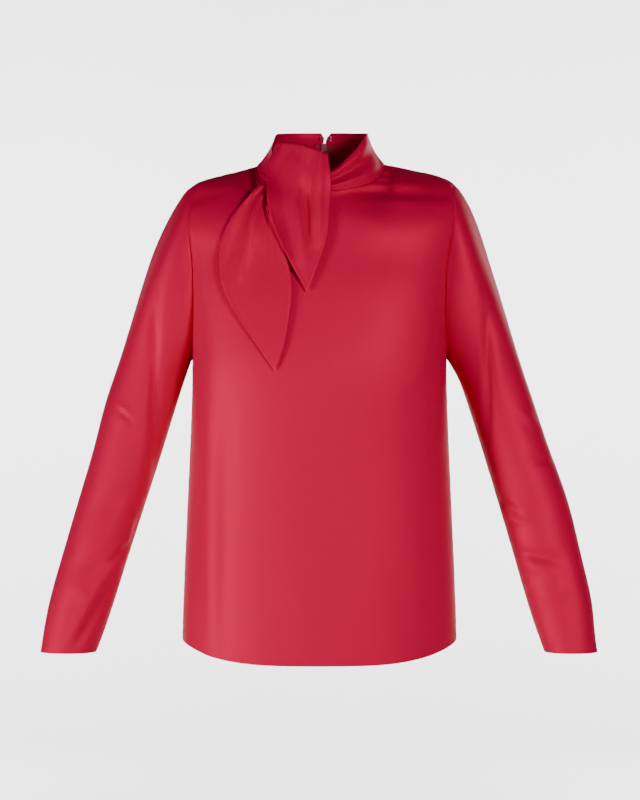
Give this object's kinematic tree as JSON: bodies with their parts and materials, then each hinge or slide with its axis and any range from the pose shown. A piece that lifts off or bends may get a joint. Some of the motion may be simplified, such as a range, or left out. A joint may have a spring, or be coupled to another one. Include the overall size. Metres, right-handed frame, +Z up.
{
  "type": "tie neck blouse",
  "caption": "Long-sleeved red satin blouse with a stand collar whose two pointed tie ends fall over the front.",
  "frame": {"origin": "midway between the shoulders, at the height of the high shoulder points, where the wearer's shoulders hold the blouse", "axes": "+X towards the wearer's left, -Y out of the front, +Z up towards the collar"},
  "size_m": [0.7287, 0.245, 0.7015],
  "materials": {
    "satin": "satin",
    "zip_tape": "matte",
    "trim": "satin"
  },
  "bodies": {
    "blouse": {"front": "satin", "back_left": "satin", "back_right": "satin", "sleeve_left": "satin", "sleeve_right": "satin", "collar": "satin", "tie_upper": "satin", "tie_lower": "satin", "zip_tape_left": "zip_tape", "zip_tape_right": "zip_tape", "zip_slider": "trim", "hook": "trim", "eye": "trim"},
    "zip_pull": {"zip_pull_tab": "trim"}
  },
  "joints": [
    {"name": "zip_pull_hinge", "type": "hinge", "parent": "blouse", "child": "zip_pull", "pos_m": [0.00602, 0.05719, 0.03911], "axis": [1, 0, 0], "range_deg": [0, 140]}
  ]
}
